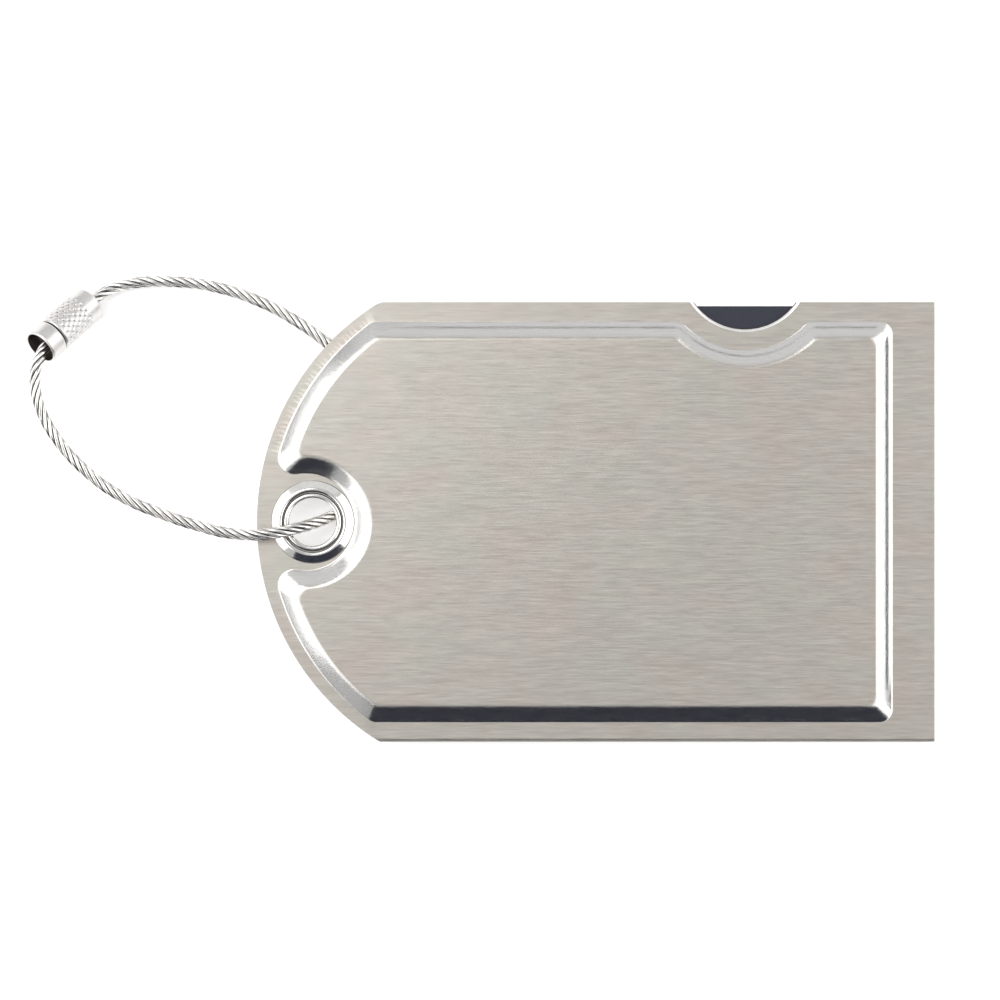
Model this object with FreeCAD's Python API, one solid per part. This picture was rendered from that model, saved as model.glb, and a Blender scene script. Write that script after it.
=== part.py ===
"""Metal luggage tag with a slide-in card and a screw-closed wire loop.

Millimetres. The tag lies flat: +Z is out of its front face, +X runs away from
the eyelet and +Y towards the pocket's open edge. The origin is the middle of
the case's box. One STEP file is written for each node.
"""

import FreeCAD
import Part
import math
import os

V = FreeCAD.Vector

# ---- driving dimensions ------------------------------------------------------
CASE_LENGTH = 108.0
CASE_WIDTH = 70.0
SHEET = 0.4                 # steel sheet of both shells
EMBOSS = 1.8                # rise of the front panel above its flange
POCKET_GAP = 0.7            # room for the card between the two sheets
NOSE_R = 0.5871 * CASE_WIDTH    # round end that carries the eyelet
FLANGE = 2.3                # flat rim round the nose
PANEL_RIGHT = CASE_LENGTH / 2 - 7.2    # foot of the panel at the closed end
PANEL_HALF = CASE_WIDTH / 2 - 3.5      # foot of the panel at both long sides
WALL_RUN = 2.4              # width of the panel's sloping wall in plan
LIP = 3.0                   # hem turned under the rear sheet

EYE_X = 8.9 - CASE_LENGTH / 2    # eyelet axis
EYE_HOLE_R = 3.75
EYE_BARREL_R = EYE_HOLE_R + 0.35
EYE_RIM_R = EYE_HOLE_R + 0.9
EYE_REAR_R = EYE_HOLE_R + 2.05
EYE_CUT_R = 8.1             # round bay in the panel that holds the eyelet
EYE_CUT_SHIFT = 1.1         # the bay opens towards the nose
WASHER_IN_R = EYE_RIM_R + 0.15
WASHER_OUT_R = WASHER_IN_R + 1.8
WASHER_RISE = 0.8
RIM_RISE = 0.75

NOTCH_X = CASE_LENGTH / 2 - 30.3    # thumb notch in the pocket's mouth
NOTCH_Y = CASE_WIDTH / 2 + 5.65
NOTCH_R = 10.4
NOTCH_PANEL_R = NOTCH_R + 3.3    # the panel's wall keeps this far from the same centre

CARD_LEFT = EYE_X + 9.1
CARD_RIGHT = CASE_LENGTH / 2 - 1.2
CARD_BOTTOM = 0.55 - CASE_WIDTH / 2
CARD_TOP = CASE_WIDTH / 2 - 0.6
CARD_THICK = 0.4
CARD_CORNER = 3.0
LABEL_SIZE = (72.0, 40.0)
LABEL_CENTRE = ((CARD_LEFT + CARD_RIGHT) / 2, -6.0)
LABEL_THICK = 0.1

CABLE_D = 1.9
CLASP_R = 3.0 
CLASP_MOUTH = (EYE_X - 42.85, 27.6)    # plan position of the clasp's open end
CLASP_AZIMUTH = 46.8         # degrees in plan, open end to cable end
CLASP_TILT = 31.0            # degrees, open end up
COLLAR_LENGTH = 2.9
CLASP_GAP = 0.25
SLEEVE_LENGTH = 8.75
MOUTH_R = 2.55
MOUTH_DEPTH = 2.2
STUD_R = 2.0
STUD_BORE_R = 1.2 
STUD_ENGAGED = 2.05
SLEEVE_BORE_R = 2.08
SLEEVE_END_WALL = 1.2
SLEEVE_HOLE_R = 1.6
FERRULE_BORE_R = CABLE_D / 2 + 0.03

# ---- heights, from the rear sheet's underside, then moved to the frame ------
HALF_HEIGHT = (POCKET_GAP + 2 * SHEET + EMBOSS + SHEET) / 2
REAR_Z = SHEET - HALF_HEIGHT         # underside of the rear sheet
FLANGE_Z = REAR_Z + SHEET + POCKET_GAP    # underside of the front flange
FRONT_Z = FLANGE_Z + SHEET           # top of the front flange
PANEL_Z = FRONT_Z + EMBOSS           # top of the panel
BEND_R = (2 * SHEET + POCKET_GAP + SHEET) / 2    # outside radius of the hems
BEND_Z = FRONT_Z - BEND_R
RIGHT = CASE_LENGTH / 2 - BEND_R     # the flange is flat up to here
BOTTOM = -CASE_WIDTH / 2 + BEND_R
NOSE_X = -CASE_LENGTH / 2 + NOSE_R
RUNNING = 0.05                       # clearance between pieces that only touch

# The tag rests on its closed end's hem and on the cable under the nose.
TABLE_SLOPE = 0.0228


def table_z(x):
    """Height of the table's sloping surface under the tag at x."""
    return REAR_Z - SHEET - TABLE_SLOPE * (CASE_LENGTH / 2 - x)


# ---- small helpers -----------------------------------------------------------
def unit(v):
    return v * (1.0 / v.Length)


def arc_about(centre, start, end, height, bulge=None):
    """Arc round a centre in a level plane; bulge names the middle's direction."""
    radius = (start - centre).Length
    way = bulge or unit((start - centre) + (end - centre))
    lift = V(0, 0, height)
    middle = centre + way * radius
    return Part.Arc(start + lift, middle + lift, end + lift).toShape()


def line_at(start, end, height):
    lift = V(0, 0, height)
    return Part.makeLine(start + lift, end + lift)


def polygon_face(points):
    return Part.Face(Part.makePolygon(list(points) + [points[0]]))


def box(low, high):
    size = [h - l for l, h in zip(low, high)]
    return Part.makeBox(*size, V(*low))


def turned(points, axis_point=V(0, 0, 0)):
    """Solid of revolution about Z from (radius, height) points and arc triples."""
    edges = []
    here = V(points[0][0], 0, points[0][1])
    for entry in points[1:] + [points[0]]:
        if len(entry) == 4:
            via = V(entry[0], 0, entry[1])
            there = V(entry[2], 0, entry[3])
            edges.append(Part.Arc(here, via, there).toShape())
        else:
            there = V(entry[0], 0, entry[1])
            edges.append(Part.makeLine(here, there))
        here = there
    solid = Part.Face(Part.Wire(edges)).revolve(V(0, 0, 0), V(0, 0, 1), 360)
    solid.translate(axis_point)
    return solid


# ---- the raised panel --------------------------------------------------------
def circle_side(kind, inset):
    """Centre and radius of one of the panel's round sides, moved in by inset."""
    return {
        "nose": (V(NOSE_X, 0, 0), NOSE_R - FLANGE - inset),
        "eye": (V(EYE_X - EYE_CUT_SHIFT, 0, 0), EYE_CUT_R + inset),
        "notch": (V(NOTCH_X, NOTCH_Y, 0), NOTCH_PANEL_R + inset),
    }[kind]


def sharp_corner(name, inset):
    """Where two sides of the panel meet once both have moved in by inset."""
    half = PANEL_HALF - inset
    if name == "right":
        return V(PANEL_RIGHT - inset, half, 0)
    if name in ("notch_right", "notch_left"):
        centre, radius = circle_side("notch", inset)
        reach = math.sqrt(radius ** 2 - (centre.y - half) ** 2)
        return V(centre.x + (reach if name == "notch_right" else -reach), half, 0)
    centre, radius = circle_side("nose", inset)
    if name == "shoulder":
        return V(centre.x - math.sqrt(radius ** 2 - half ** 2), half, 0)
    eye, eye_radius = circle_side("eye", inset)
    apart = centre.x - eye.x
    along = (radius ** 2 - eye_radius ** 2 + apart ** 2) / (2 * apart)
    return V(centre.x - along, math.sqrt(radius ** 2 - along ** 2), 0)


def touch(side, centre, inset, sign):
    """Where a corner's rounding circle touches a side of the panel."""
    if side == "right":
        return V(PANEL_RIGHT - inset, centre.y, 0)
    if side == "long":
        return V(centre.x, sign * (PANEL_HALF - inset), 0)
    middle, radius = circle_side(side, inset)
    return middle + unit(centre - middle) * radius


# corner name, rounding at the foot, side before it, side after it
UPPER_CORNERS = [
    ("right", 1.7, "right", "long"),
    ("notch_right", 1.2, "long", "notch"),
    ("notch_left", 1.2, "notch", "long"),
    ("shoulder", 1.6, "long", "nose"),
    ("lobe", 2.4, "nose", "eye"),
]
LOWER_CORNERS = [
    ("lobe", 2.4, "eye", "nose"),
    ("shoulder", 1.6, "nose", "long"),
    ("right", 1.7, "long", "right"),
]
LEAST_ROUND = 0.35


def panel_outline(inset, height):
    """Closed outline of the panel, moved in by inset, at one height."""
    stops = []
    rows = [(c, 1) for c in UPPER_CORNERS] + [(c, -1) for c in LOWER_CORNERS]
    for (name, rounding, before, after), sign in rows:
        radius = max(LEAST_ROUND, rounding - inset)
        centre = sharp_corner(name, inset + radius)
        centre.y *= sign
        stops.append((
            centre,
            touch(before, centre, inset, sign),
            touch(after, centre, inset, sign),
            after,
        ))
    edges = []
    for i, (centre, start, end, side) in enumerate(stops):
        following = stops[(i + 1) % len(stops)][1]
        edges.append(arc_about(centre, start, end, height))
        if side in ("right", "long"):
            edges.append(line_at(end, following, height))
        else:
            middle = circle_side(side, inset)[0]
            bulge = V(1, 0, 0) if side == "eye" else None
            edges.append(arc_about(middle, end, following, height, bulge))
    return Part.Wire(edges)


def panel_block(drop, inset):
    """Solid under the panel's skin: foot, rounded shoulder and flat top."""
    steps = [(0.0, 0.0), (0.3, 0.55), (0.62, 0.86), (1.0, 1.0)]
    wires = [
        panel_outline(inset + WALL_RUN * run, FRONT_Z - drop + EMBOSS * rise)
        for run, rise in steps
    ]
    return Part.makeLoft(wires, True, True)


# ---- case --------------------------------------------------------------------
def outline_prism(right, bottom, low, high):
    """Prism with the case's outline: a long box with one round end."""
    top = CASE_WIDTH / 2
    reach_top = math.sqrt(NOSE_R ** 2 - top ** 2)
    reach_bottom = math.sqrt(NOSE_R ** 2 - bottom ** 2)
    corners = [
        V(NOSE_X - reach_bottom, bottom, low),
        V(right, bottom, low),
        V(right, top, low),
        V(NOSE_X - reach_top, top, low),
    ]
    edges = [Part.makeLine(a, b) for a, b in zip(corners, corners[1:])]
    tip = V(NOSE_X - NOSE_R, 0, low)
    edges.append(Part.Arc(corners[3], tip, corners[0]).toShape())
    prism = Part.Face(Part.Wire(edges)).extrude(V(0, 0, high - low))
    shoulder = [
        e for e in prism.Edges
        if abs(e.Length - (high - low)) < 1e-6
        and abs(e.CenterOfMass.x - corners[3].x) < 1e-6
        and abs(e.CenterOfMass.y - top) < 1e-6
    ]
    return prism.makeFillet(1.0, shoulder)


def notch_cutter():
    return Part.makeCylinder(NOTCH_R, 20, V(NOTCH_X, NOTCH_Y, -10))


def hem(start, end, outward):
    """Sheet turned under along a straight side, swept from start to end."""
    inner = BEND_R - SHEET
    out = V(*outward)
    up = V(0, 0, 1)
    centre = V(start.x, start.y, BEND_Z)
    edges = [
        Part.Arc(centre + up * BEND_R, centre + out * BEND_R,
                 centre - up * BEND_R).toShape(),
        Part.makeLine(centre - up * BEND_R, centre - up * BEND_R - out * LIP),
        Part.makeLine(centre - up * BEND_R - out * LIP,
                      centre - up * inner - out * LIP),
        Part.makeLine(centre - up * inner - out * LIP, centre - up * inner),
        Part.Arc(centre - up * inner, centre + out * inner,
                 centre + up * inner).toShape(),
        Part.makeLine(centre + up * inner, centre + up * BEND_R),
    ]
    return Part.Face(Part.Wire(edges)).extrude(end - start)


def corner_cap():
    """Rounded corner where the two hems meet."""
    centre = V(RIGHT, BOTTOM, BEND_Z)
    shell = Part.makeSphere(BEND_R, centre)
    shell = shell.cut(Part.makeSphere(BEND_R - SHEET, centre))
    quarter = box((RIGHT, BOTTOM - 2, BEND_Z - 2), (RIGHT + 2, BOTTOM, BEND_Z + 2))
    return shell.common(quarter)


def make_front_shell():
    plate = outline_prism(RIGHT, BOTTOM, FLANGE_Z, FRONT_Z)
    plate = plate.cut(notch_cutter())
    shell = plate.fuse(panel_block(0.0, 0.0))
    shell = shell.cut(panel_block(SHEET, 0.45))
    shell = shell.cut(Part.makeCylinder(EYE_BARREL_R + RUNNING, 20, V(EYE_X, 0, -10)))
    top = CASE_WIDTH / 2
    hem_left = NOSE_X - math.sqrt(NOSE_R ** 2 - top ** 2)
    pieces = [
        hem(V(RIGHT, BOTTOM, 0), V(RIGHT, top, 0), (1, 0, 0)),
        hem(V(hem_left, BOTTOM, 0), V(RIGHT, BOTTOM, 0), (0, -1, 0)),
        corner_cap(),
    ]
    for piece in pieces:
        shell = shell.fuse(piece)
    return shell.removeSplitter()


def make_rear_shell():
    """Back sheet, stepped up at the nose to meet the front flange."""
    step_x = EYE_X + 7.0
    ramp = 1.0
    slant = 0.17
    low = REAR_Z
    high = REAR_Z + POCKET_GAP
    left = -CASE_LENGTH / 2 - 1
    end = RIGHT - RUNNING
    start_y = BOTTOM + RUNNING
    section = [
        V(left, start_y, high), V(step_x, start_y, high),
        V(step_x + ramp, start_y, low), V(end, start_y, low),
        V(end, start_y, low + SHEET), V(step_x + ramp + slant, start_y, low + SHEET),
        V(step_x + slant, start_y, high + SHEET), V(left, start_y, high + SHEET),
    ]
    sheet = polygon_face(section).extrude(V(0, CASE_WIDTH, 0))
    sheet = sheet.common(outline_prism(end, start_y, low - 1, high + 2))
    sheet = sheet.cut(notch_cutter())
    return sheet.cut(Part.makeCylinder(EYE_BARREL_R + RUNNING, 20, V(EYE_X, 0, -10)))


def make_eyelet_barrel():
    low = REAR_Z + POCKET_GAP - 0.35     # rear flange, under the stepped sheet
    back = REAR_Z + POCKET_GAP
    rim = FRONT_Z + RIM_RISE
    roll = (EYE_RIM_R - EYE_HOLE_R) / 2
    ease = 0.3
    bend = ease * (1 - math.sqrt(0.5))
    return turned([
        (EYE_HOLE_R + ease, low),
        (EYE_REAR_R, low),
        (EYE_REAR_R, back),
        (EYE_BARREL_R, back),
        (EYE_BARREL_R, FRONT_Z + RUNNING),
        (EYE_RIM_R, FRONT_Z + RUNNING),
        (EYE_RIM_R, rim - roll),
        (EYE_HOLE_R + roll, rim, EYE_HOLE_R, rim - roll),
        (EYE_HOLE_R, low + ease),
        (EYE_HOLE_R + bend, low + bend, EYE_HOLE_R + ease, low),
    ][:-1], V(EYE_X, 0, 0))


def make_eyelet_washer():
    crown = (WASHER_IN_R + WASHER_OUT_R) / 2 - 0.1
    return turned([
        (WASHER_IN_R, FRONT_Z),
        (WASHER_OUT_R, FRONT_Z),
        (WASHER_OUT_R, FRONT_Z + 0.15),
        (WASHER_OUT_R - 0.24, FRONT_Z + 0.5, crown, FRONT_Z + WASHER_RISE),
        (WASHER_IN_R + 0.18, FRONT_Z + 0.58, WASHER_IN_R, FRONT_Z + 0.3),
    ], V(EYE_X, 0, 0))


# ---- card --------------------------------------------------------------------
def make_insert_card():
    low = REAR_Z + SHEET + RUNNING
    card = box((CARD_LEFT, CARD_BOTTOM, low), (CARD_RIGHT, CARD_TOP, low + CARD_THICK))
    uprights = [e for e in card.Edges if abs(e.Length - CARD_THICK) < 1e-6]
    return card.makeFillet(CARD_CORNER, uprights)


def make_address_label():
    low = REAR_Z + SHEET + RUNNING + CARD_THICK
    half_x = LABEL_SIZE[0] / 2
    half_y = LABEL_SIZE[1] / 2
    x, y = LABEL_CENTRE
    label = box((x - half_x, y - half_y, low), (x + half_x, y + half_y, low + LABEL_THICK))
    uprights = [e for e in label.Edges if abs(e.Length - LABEL_THICK) < 1e-6]
    return label.makeFillet(1.5, uprights)


# ---- clasp, built along +Z from its open end and then laid on its axis -------
CLASP_LENGTH = COLLAR_LENGTH + CLASP_GAP + SLEEVE_LENGTH


def clasp_direction():
    flat = math.cos(math.radians(CLASP_TILT))
    turn = math.radians(CLASP_AZIMUTH)
    return V(flat * math.cos(turn), flat * math.sin(turn),
             -math.sin(math.radians(CLASP_TILT)))


def clasp_origin():
    """Centre of the open end, with the cable end's rim just on the table."""
    way = clasp_direction()
    flat = math.hypot(way.x, way.y)
    end_x = CLASP_MOUTH[0] + way.x * CLASP_LENGTH
    end_z = table_z(end_x) + CLASP_R * flat + RUNNING
    return V(CLASP_MOUTH[0], CLASP_MOUTH[1], end_z - way.z * CLASP_LENGTH)


def on_clasp(depth):
    return clasp_origin() + clasp_direction() * depth


def lay_on_clasp(shape):
    shape.Placement = FreeCAD.Placement(
        clasp_origin(), FreeCAD.Rotation(V(0, 0, 1), clasp_direction()))
    return shape


STUD_END = COLLAR_LENGTH + CLASP_GAP + STUD_ENGAGED
SCREW_FERRULE = (STUD_END - 1.25, STUD_END + 0.75)
SLEEVE_FLOOR = CLASP_LENGTH - SLEEVE_END_WALL
SLEEVE_FERRULE = (SLEEVE_FLOOR - RUNNING - 2.6, SLEEVE_FLOOR - RUNNING)


def make_clasp_screw():
    """Plain collar with an open mouth, and the stud that screws into the sleeve."""
    soft = 0.25
    seat = SCREW_FERRULE[0] - RUNNING
    profile = [
        (MOUTH_R, 0.0),
        (CLASP_R - soft, 0.0),
        (CLASP_R - 0.07, 0.07, CLASP_R, soft),
        (CLASP_R, COLLAR_LENGTH - soft),
        (CLASP_R - 0.07, COLLAR_LENGTH - 0.07, CLASP_R - soft, COLLAR_LENGTH),
        (STUD_R, COLLAR_LENGTH),
        (STUD_R, STUD_END - 0.3),
        (STUD_R - 0.3, STUD_END),
        (1.5, STUD_END),
        (1.5, seat),
        (STUD_BORE_R, seat),
        (STUD_BORE_R, MOUTH_DEPTH),
        (MOUTH_R, MOUTH_DEPTH),
    ]
    return lay_on_clasp(turned(profile))


def make_clasp_sleeve():
    """Knurled sleeve; its grip is a band sunk a little below the end bands."""
    start = COLLAR_LENGTH + CLASP_GAP
    grip = (start + 0.35, start + 6.2)
    sunk = 0.06
    soft = 0.3
    profile = [
        (SLEEVE_BORE_R, start),
        (CLASP_R - soft, start),
        (CLASP_R - 0.09, start + 0.09, CLASP_R, start + soft),
        (CLASP_R, grip[0]),
        (CLASP_R - sunk, grip[0] + sunk),
        (CLASP_R - sunk, grip[1] - sunk),
        (CLASP_R, grip[1]),
        (CLASP_R, CLASP_LENGTH - soft),
        (CLASP_R - 0.09, CLASP_LENGTH - 0.09, CLASP_R - soft, CLASP_LENGTH),
        (SLEEVE_HOLE_R, CLASP_LENGTH),
        (SLEEVE_HOLE_R, SLEEVE_FLOOR),
        (SLEEVE_BORE_R, SLEEVE_FLOOR),
    ]
    return lay_on_clasp(turned(profile))


def make_ferrule(span, radius):
    soft = 0.2
    return lay_on_clasp(turned([
        (FERRULE_BORE_R, span[0]),
        (radius - soft, span[0]),
        (radius, span[0] + soft),
        (radius, span[1] - soft),
        (radius - soft, span[1]),
        (FERRULE_BORE_R, span[1]),
    ]))


# ---- cable -------------------------------------------------------------------
def on_table(x, y):
    return V(x, y, table_z(x) + CABLE_D / 2)


def cable_points():
    """Corners of the cable's route, from the sleeve round the loop to the screw."""
    return [
        on_clasp(SLEEVE_FERRULE[0] - 0.2),
        on_clasp(CLASP_LENGTH + 1.3),
        on_table(EYE_X - 31.6, 37.9) + V(0, 0, 0.05),
        on_table(EYE_X - 25.7, 38.7),
        on_table(EYE_X - 16.4, 38.1),
        on_table(EYE_X - 6.4, 34.6),
        on_table(EYE_X + 3.5, 27.9),
        on_table(EYE_X + 11.7, 19.0) + V(0, 0, 0.15),
        on_table(EYE_X + 12.5, 9.0) + V(0, 0, 0.35),
        V(EYE_X + 4.7, 1.4, REAR_Z - 2.03),
        V(EYE_X - 3.4, -1.5, REAR_Z + 4.1),
        V(EYE_X - 11.9, -2.4, REAR_Z + 3.4),
        V(EYE_X - 22.4, 0.6, REAR_Z + 3.3),
        V(EYE_X - 32.1, 4.6, REAR_Z + 3.6),
        V(EYE_X - 40.1, 12.1, REAR_Z + 4.6),
        V(EYE_X - 44.0, 20.0, REAR_Z + 5.5),
        on_clasp(-0.6),
        on_clasp(STUD_END + 0.7),
    ]


def make_cable():
    """Round cable along straight runs joined by tangent arcs."""
    points = cable_points()
    edges = []
    radii = []
    here = points[0]
    for before, corner, after in zip(points, points[1:], points[2:]):
        arriving = unit(corner - before)
        leaving = unit(after - corner)
        half_turn = arriving.getAngle(leaving) / 2
        cut = 0.45 * min((corner - before).Length, (after - corner).Length)
        radii.append(cut / math.tan(half_turn))
        start = corner - arriving * cut
        end = corner + leaving * cut
        inward = unit(leaving - arriving)
        reach = radii[-1] / math.cos(half_turn) - radii[-1]
        edges.append(Part.makeLine(here, start))
        edges.append(Part.Arc(start, corner + inward * reach, end).toShape())
        here = end
    edges.append(Part.makeLine(here, points[-1]))
    route = Part.Wire(edges)
    ring = Part.Wire(Part.makeCircle(CABLE_D / 2, points[0], unit(points[1] - points[0])))
    tube = route.makePipeShell([ring], True, False)
    section = math.pi * CABLE_D ** 2 / 4
    runs = [(b - a).Length for a, b in zip(points, points[1:])]
    print("cable runs", [round(r, 1) for r in runs])
    print("cable bend radii", [round(r, 1) for r in radii])
    print("cable length %.1f, volume %.2f, section x length %.2f"
          % (route.Length, tube.Volume, section * route.Length))
    return tube


NODES = {
    "front_shell": make_front_shell,
    "rear_shell": make_rear_shell,
    "eyelet_barrel": make_eyelet_barrel,
    "eyelet_washer": make_eyelet_washer,
    "insert_card": make_insert_card,
    "address_label": make_address_label,
    "wire_rope": make_cable,
    "clasp_screw": make_clasp_screw,
    "clasp_sleeve": make_clasp_sleeve,
    "ferrule_screw_end": lambda: make_ferrule(SCREW_FERRULE, 1.45),
    "ferrule_sleeve_end": lambda: make_ferrule(SLEEVE_FERRULE, 1.8),
}

os.makedirs("parts", exist_ok=True)
for name, make in NODES.items():
    shape = make()
    solid = shape.Solids[0]
    extent = shape.BoundBox
    print("%-19s solids %d valid %s volume %8.2f  x %.2f..%.2f y %.2f..%.2f z %.2f..%.2f" % (
        name, len(shape.Solids), shape.isValid(), shape.Volume, extent.XMin, extent.XMax,
        extent.YMin, extent.YMax, extent.ZMin, extent.ZMax))
    solid.exportStep(os.path.join("parts", name + ".step"))
origin = clasp_origin()
way = clasp_direction()
print("clasp origin", [round(c, 4) for c in origin], "direction", [round(c, 6) for c in way])
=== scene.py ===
import math

import bmesh
import bpy
import numpy as np
from mathutils import Matrix, Vector


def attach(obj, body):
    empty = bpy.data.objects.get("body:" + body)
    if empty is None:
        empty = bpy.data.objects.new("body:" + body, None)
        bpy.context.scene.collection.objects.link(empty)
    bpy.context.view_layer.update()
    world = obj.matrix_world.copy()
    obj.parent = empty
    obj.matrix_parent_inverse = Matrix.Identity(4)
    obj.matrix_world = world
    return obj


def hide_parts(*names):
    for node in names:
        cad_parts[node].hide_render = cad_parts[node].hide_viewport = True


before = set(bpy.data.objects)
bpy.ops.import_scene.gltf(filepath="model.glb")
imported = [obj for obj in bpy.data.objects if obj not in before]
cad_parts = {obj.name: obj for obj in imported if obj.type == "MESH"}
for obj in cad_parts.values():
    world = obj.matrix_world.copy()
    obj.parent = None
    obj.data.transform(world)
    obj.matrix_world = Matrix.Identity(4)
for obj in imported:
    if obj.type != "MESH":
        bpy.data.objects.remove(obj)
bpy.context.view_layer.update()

MM = 0.001

# ---- the frame's sizes, in millimetres ---------------------------------------
CASE_LENGTH = 108.0
CASE_WIDTH = 70.0
SHEET = 0.4
EMBOSS = 1.8
REAR_Z = -1.45
FRONT_Z = REAR_Z + 1.5
BEND_R = 0.95
BEND_Z = FRONT_Z - BEND_R
LIP = 3.0               # hem turned under the rear sheet
FOLD = 0.2              # how far the closed end's hem stands past the flat flange
FOLD_LONG = 0.5         # the same for the long side's hem
RIGHT = CASE_LENGTH / 2 - FOLD
TOP = CASE_WIDTH / 2
BOTTOM = -TOP + FOLD_LONG
NOSE_R = 0.5871 * CASE_WIDTH
NOSE_X = NOSE_R - CASE_LENGTH / 2
FLANGE = 2.3            # flat rim round the nose
EYE_X = 8.9 - CASE_LENGTH / 2
EYE_HOLE_R = 3.75
EYE_BARREL_R = EYE_HOLE_R + 0.35
EYE_RIM_R = EYE_HOLE_R + 0.9
EYE_REAR_R = EYE_HOLE_R + 2.05
EYE_CUT_R = 8.1         # round bay in the panel that holds the eyelet
EYE_CUT_SHIFT = 1.1     # the bay opens towards the nose
SHEET_HOLE_R = EYE_BARREL_R + 0.05
WASHER_IN_R = EYE_RIM_R + 0.15
WASHER_OUT_R = WASHER_IN_R + 1.8
NOTCH_X = CASE_LENGTH / 2 - 30.3
NOTCH_Y = TOP + 5.65
NOTCH_R = 10.4
NOTCH_PANEL_R = NOTCH_R + 3.3
CABLE_D = 1.9
TABLE_SLOPE = 0.0228

CLASP_R = 3.0
COLLAR = 2.9
GAP = 0.25
SLEEVE = 8.75
CLASP_LENGTH = COLLAR + GAP + SLEEVE
STUD_END = COLLAR + GAP + 2.05
STUD_R = 2.0
STUD_BORE_R = 1.2
MOUTH_R = 2.55
MOUTH_DEPTH = 2.2
SLEEVE_BORE_R = 2.08
SLEEVE_HOLE_R = 1.6
SLEEVE_END_WALL = 1.2
CLASP_MOUTH = (EYE_X - 42.85, 27.6)
CLASP_AZIMUTH = math.radians(46.8)
CLASP_TILT = math.radians(31.0)


def table_z(x):
    """Height of the table under the tag, which leans on its own cable."""
    return REAR_Z - SHEET - TABLE_SLOPE * (CASE_LENGTH / 2 - x)


AXIS = Vector((
    math.cos(CLASP_TILT) * math.cos(CLASP_AZIMUTH),
    math.cos(CLASP_TILT) * math.sin(CLASP_AZIMUTH),
    -math.sin(CLASP_TILT),
))
END_X = CLASP_MOUTH[0] + AXIS.x * CLASP_LENGTH
MOUTH_Z = table_z(END_X) + CLASP_R * math.cos(CLASP_TILT) + 0.05 - AXIS.z * CLASP_LENGTH
CLASP_ORIGIN = Vector((CLASP_MOUTH[0], CLASP_MOUTH[1], MOUTH_Z))


def on_clasp(depth):
    return tuple(CLASP_ORIGIN + AXIS * depth)


def on_table(x, y, lift=0.0):
    return (x, y, table_z(x) + CABLE_D / 2 + lift)


CABLE_ROUTE = [
    on_clasp(CLASP_LENGTH - 4.05),
    on_clasp(CLASP_LENGTH + 1.3),
    on_table(EYE_X - 31.6, 37.9, 0.05),
    on_table(EYE_X - 25.7, 38.7),
    on_table(EYE_X - 16.4, 38.1),
    on_table(EYE_X - 6.4, 34.6),
    on_table(EYE_X + 3.5, 27.9),
    on_table(EYE_X + 11.7, 19.0, 0.15),
    on_table(EYE_X + 12.5, 9.0, 0.35),
    (EYE_X + 4.7, 1.4, REAR_Z - 2.03),
    (EYE_X - 3.4, -1.5, REAR_Z + 4.1),
    (EYE_X - 11.9, -2.4, REAR_Z + 3.4),
    (EYE_X - 22.4, 0.6, REAR_Z + 3.3),
    (EYE_X - 32.1, 4.6, REAR_Z + 3.6),
    (EYE_X - 40.1, 12.1, REAR_Z + 4.6),
    (EYE_X - 44.0, 20.0, REAR_Z + 5.5),
    on_clasp(-0.6),
    on_clasp(STUD_END + 0.7),
]


# ---- materials ---------------------------------------------------------------
BURNISHED_BY = 0.2      # how much smoother the formed walls are than the brushed sheet


def new_material(name, metallic, roughness):
    mat = bpy.data.materials.new(name)
    mat.use_nodes = True
    shader = mat.node_tree.nodes["Principled BSDF"]
    shader.inputs["Metallic"].default_value = metallic
    shader.inputs["Roughness"].default_value = roughness
    return mat, shader


def place(mat, scale):
    """Object coordinates stretched by a scale, in patterns per metre."""
    nodes, links = mat.node_tree.nodes, mat.node_tree.links
    coords = nodes.new("ShaderNodeTexCoord")
    mapping = nodes.new("ShaderNodeMapping")
    mapping.inputs["Scale"].default_value = scale
    links.new(coords.outputs["Object"], mapping.inputs["Vector"])
    return mapping.outputs["Vector"]


def noise(mat, vector, detail, roughness):
    node = mat.node_tree.nodes.new("ShaderNodeTexNoise")
    node.inputs["Scale"].default_value = 1.0
    node.inputs["Detail"].default_value = detail
    node.inputs["Roughness"].default_value = roughness
    mat.node_tree.links.new(vector, node.inputs["Vector"])
    return node.outputs["Fac"]


def ramp(mat, value, stops):
    node = mat.node_tree.nodes.new("ShaderNodeValToRGB")
    elements = node.color_ramp.elements
    while len(elements) < len(stops):
        elements.new(0.5)
    for element, (position, color) in zip(elements, stops):
        element.position = position
        element.color = (*color, 1.0)
    mat.node_tree.links.new(value, node.inputs["Fac"])
    return node.outputs["Color"]


def mix(mat, a, b, factor, blend="MIX"):
    node = mat.node_tree.nodes.new("ShaderNodeMix")
    node.data_type = "RGBA"
    node.blend_type = blend
    links = mat.node_tree.links
    if isinstance(factor, float):
        node.inputs["Factor"].default_value = factor
    else:
        links.new(factor, node.inputs["Factor"])
    links.new(a, node.inputs["A"])
    links.new(b, node.inputs["B"])
    return node.outputs["Result"]


def spread(mat, value, low, high):
    """The middle of a noise's range, stretched to reach from low to high."""
    node = mat.node_tree.nodes.new("ShaderNodeMapRange")
    node.inputs["From Min"].default_value = 0.3
    node.inputs["From Max"].default_value = 0.7
    node.inputs["To Min"].default_value = low
    node.inputs["To Max"].default_value = high
    mat.node_tree.links.new(value, node.inputs["Value"])
    return node.outputs["Result"]


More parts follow.
